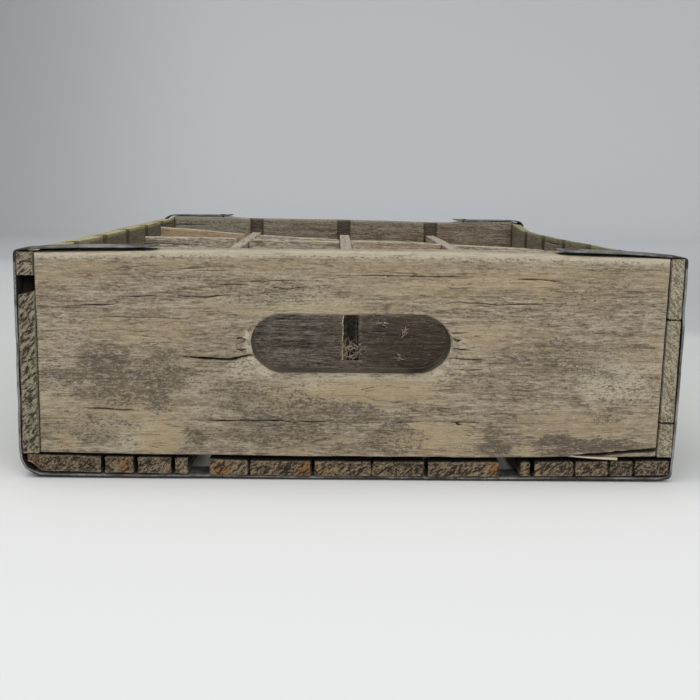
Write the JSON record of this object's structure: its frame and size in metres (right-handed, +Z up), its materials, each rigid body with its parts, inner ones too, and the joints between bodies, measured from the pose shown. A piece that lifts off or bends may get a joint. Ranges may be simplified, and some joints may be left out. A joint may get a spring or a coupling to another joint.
{
  "type": "wooden soda crate",
  "caption": "Low wooden bottle crate with handholds in both ends, steel straps round the ends and a loose grid of dividers that lifts out.",
  "frame": {"origin": "on the floor under the middle of the crate", "axes": "+X to the right seen from the front end, +Y along the crate to the back end, +Z up"},
  "size_m": [0.3084, 0.47, 0.1092],
  "materials": {
    "end_board_wood": "weathered grey-brown, open grain, mildew stains",
    "side_slat_wood": "weathered grey-brown, rough sawn",
    "bottom_slat_wood": "weathered dark brown, rough sawn",
    "divider_wood": "weathered brown, rough sawn",
    "strap_steel": "dull zinc-grey with dark stains and rust",
    "nail_steel": "dark, rusty"
  },
  "bodies": {
    "crate": {"front_end_board": "end_board_wood", "back_end_board": "end_board_wood", "left_side_slat": "side_slat_wood", "left_top_strip": "side_slat_wood", "right_side_slat": "side_slat_wood", "right_bottom_strip": "side_slat_wood", "bottom_slat_1": "bottom_slat_wood", "bottom_slat_2": "bottom_slat_wood", "bottom_slat_3": "bottom_slat_wood", "bottom_slat_4": "bottom_slat_wood", "bottom_slat_5": "bottom_slat_wood", "bottom_slat_6": "bottom_slat_wood", "front_strap": "strap_steel", "back_strap": "strap_steel", "side_slat_nails": "nail_steel", "bottom_slat_nails": "nail_steel", "front_strap_nails": "nail_steel", "back_strap_nails": "nail_steel"},
    "cross_dividers": {"cross_divider_1": "divider_wood", "cross_divider_2": "divider_wood", "cross_divider_3": "divider_wood", "cross_divider_4": "divider_wood", "cross_divider_5": "divider_wood"},
    "left_divider": {"long_divider_left": "divider_wood"},
    "centre_divider": {"long_divider_centre": "divider_wood"},
    "right_divider": {"long_divider_right": "divider_wood"}
  },
  "joints": [
    {"name": "grid_lift", "type": "slide", "parent": "crate", "child": "cross_dividers", "axis": [0, 0, 1], "range_m": [0, 0.095]},
    {"name": "left_divider_lift", "type": "slide", "parent": "cross_dividers", "child": "left_divider", "axis": [0, 0, 1], "range_m": [0, 0.095]},
    {"name": "centre_divider_lift", "type": "slide", "parent": "cross_dividers", "child": "centre_divider", "axis": [0, 0, 1], "range_m": [0, 0.095]},
    {"name": "right_divider_lift", "type": "slide", "parent": "cross_dividers", "child": "right_divider", "axis": [0, 0, 1], "range_m": [0, 0.095]}
  ]
}
